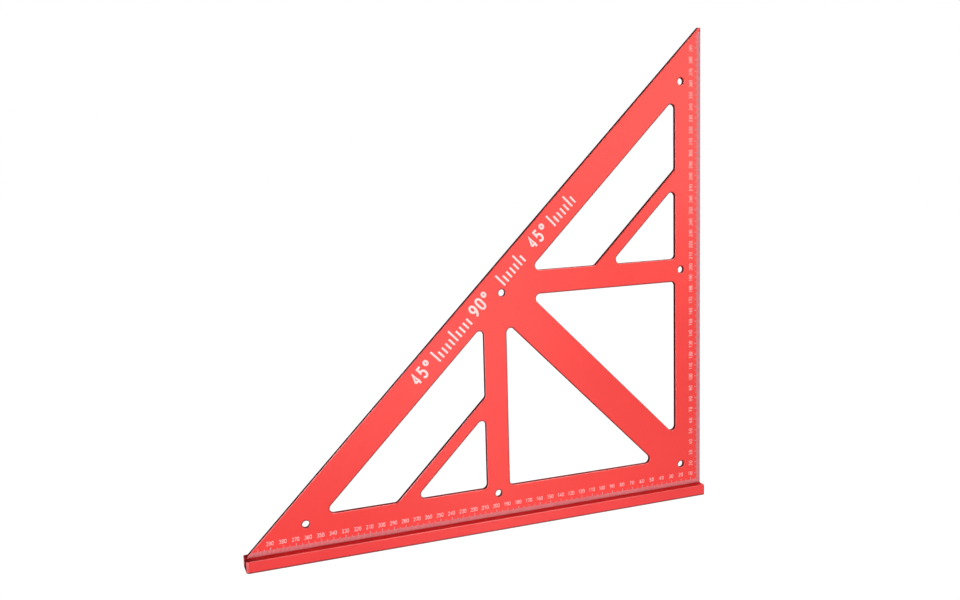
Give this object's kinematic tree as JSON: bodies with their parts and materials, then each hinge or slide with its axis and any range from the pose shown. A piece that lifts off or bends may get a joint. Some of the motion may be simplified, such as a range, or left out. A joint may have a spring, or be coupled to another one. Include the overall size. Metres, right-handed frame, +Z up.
{
  "type": "triangle square",
  "caption": "Large triangular layout square: a windowed blade with ruled edges, standing in a slotted fence bar with lips on both sides.",
  "frame": {"origin": "centre of the fence's underside, the face that the square stands on", "axes": "+X along the fence, towards the upright ruled edge; +Z up, along the upright ruled edge; the ruled face of the blade looks towards -Y"},
  "size_m": [0.4102, 0.016, 0.4169],
  "materials": {
    "blade_red": "red anodised, satin",
    "fence_red": "red anodised, satin",
    "black_steel": "black oxide, oiled",
    "ground_steel": "ground, bright",
    "scale_marking": "laser-etched through the red anodising, pale and matt"
  },
  "bodies": {
    "root": {"blade": "blade_red", "fence": "fence_red", "fence_screw_1": "black_steel", "fence_screw_2": "black_steel", "fence_screw_3": "black_steel", "fence_screw_4": "black_steel", "fence_screw_5": "black_steel", "fence_screw_6": "black_steel", "fence_screw_7": "black_steel", "fence_screw_8": "black_steel", "dowel_pin_1": "ground_steel", "dowel_pin_2": "ground_steel"}
  },
  "joints": []
}
